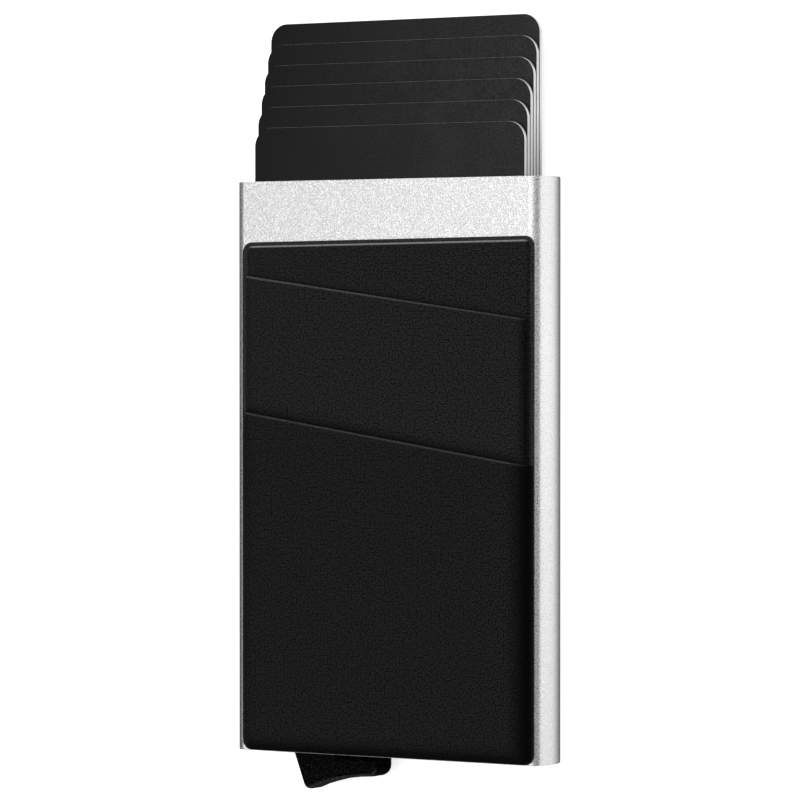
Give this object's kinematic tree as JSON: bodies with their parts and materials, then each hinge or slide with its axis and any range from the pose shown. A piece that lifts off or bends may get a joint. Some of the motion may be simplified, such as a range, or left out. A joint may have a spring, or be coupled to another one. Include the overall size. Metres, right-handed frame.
{
  "type": "pop-up card case",
  "caption": "Slim aluminium card case with a slanted leather pocket on its front face; a finger lever at its base swings a stepped arm that fans the cards out of the mouth.",
  "frame": {"origin": "middle of the sleeve's flat rear face, which the case lies on", "axes": "+X to the right of the front face, +Y along the case towards the mouth that the cards leave by, +Z out of the front face"},
  "size_m": [0.0616, 0.1318, 0.0117],
  "materials": {
    "anodised_aluminium": "sand-blasted and anodised silver",
    "black_plastic": "satin black moulding",
    "pin_steel": "drawn wire",
    "brake_foam": "closed-cell foam",
    "grey_felt": "short felt",
    "card_plastic": "satin black print over a white core",
    "adhesive_film": "black acrylic adhesive",
    "black_leather": "fine-grained black leather"
  },
  "bodies": {
    "case": {"sleeve": "anodised_aluminium", "base_cap": "black_plastic", "pivot_pin": "pin_steel", "left_brake_strip": "brake_foam", "right_brake_strip": "brake_foam", "rear_felt_pad": "grey_felt", "adhesive_sheet": "adhesive_film", "pocket_base": "black_leather", "pocket_back_panel": "black_leather", "middle_seam": "adhesive_film", "pocket_middle_panel": "black_leather", "front_seam": "adhesive_film", "pocket_front_panel": "black_leather"},
    "trigger": {"trigger_lever": "black_plastic"},
    "first_card": {"card_1": "card_plastic"},
    "second_card": {"card_2": "card_plastic"},
    "third_card": {"card_3": "card_plastic"},
    "fourth_card": {"card_4": "card_plastic"},
    "fifth_card": {"card_5": "card_plastic"},
    "sixth_card": {"card_6": "card_plastic"}
  },
  "joints": [
    {"name": "trigger_swing", "type": "hinge", "parent": "case", "child": "trigger", "pos_m": [-0.01679, -0.0425, 0.0044], "axis": [0, 0, 1], "range_deg": [-51.5, 0]},
    {"name": "first_card_slide", "type": "slide", "parent": "case", "child": "first_card", "axis": [0, 1, 0], "range_m": [-0.00965, 0]},
    {"name": "second_card_slide", "type": "slide", "parent": "case", "child": "second_card", "axis": [0, 1, 0], "range_m": [-0.01328, 0]},
    {"name": "third_card_slide", "type": "slide", "parent": "case", "child": "third_card", "axis": [0, 1, 0], "range_m": [-0.01691, 0]},
    {"name": "fourth_card_slide", "type": "slide", "parent": "case", "child": "fourth_card", "axis": [0, 1, 0], "range_m": [-0.02054, 0]},
    {"name": "fifth_card_slide", "type": "slide", "parent": "case", "child": "fifth_card", "axis": [0, 1, 0], "range_m": [-0.02417, 0]},
    {"name": "sixth_card_slide", "type": "slide", "parent": "case", "child": "sixth_card", "axis": [0, 1, 0], "range_m": [-0.0278, 0]}
  ],
  "couplings": [
    {"joint": "first_card_slide", "follows": "trigger_swing", "m_per_rad": 0.01068},
    {"joint": "second_card_slide", "follows": "trigger_swing", "m_per_rad": 0.014719},
    {"joint": "third_card_slide", "follows": "trigger_swing", "m_per_rad": 0.018757},
    {"joint": "fourth_card_slide", "follows": "trigger_swing", "m_per_rad": 0.022796},
    {"joint": "fifth_card_slide", "follows": "trigger_swing", "m_per_rad": 0.026835},
    {"joint": "sixth_card_slide", "follows": "trigger_swing", "m_per_rad": 0.030873}
  ]
}
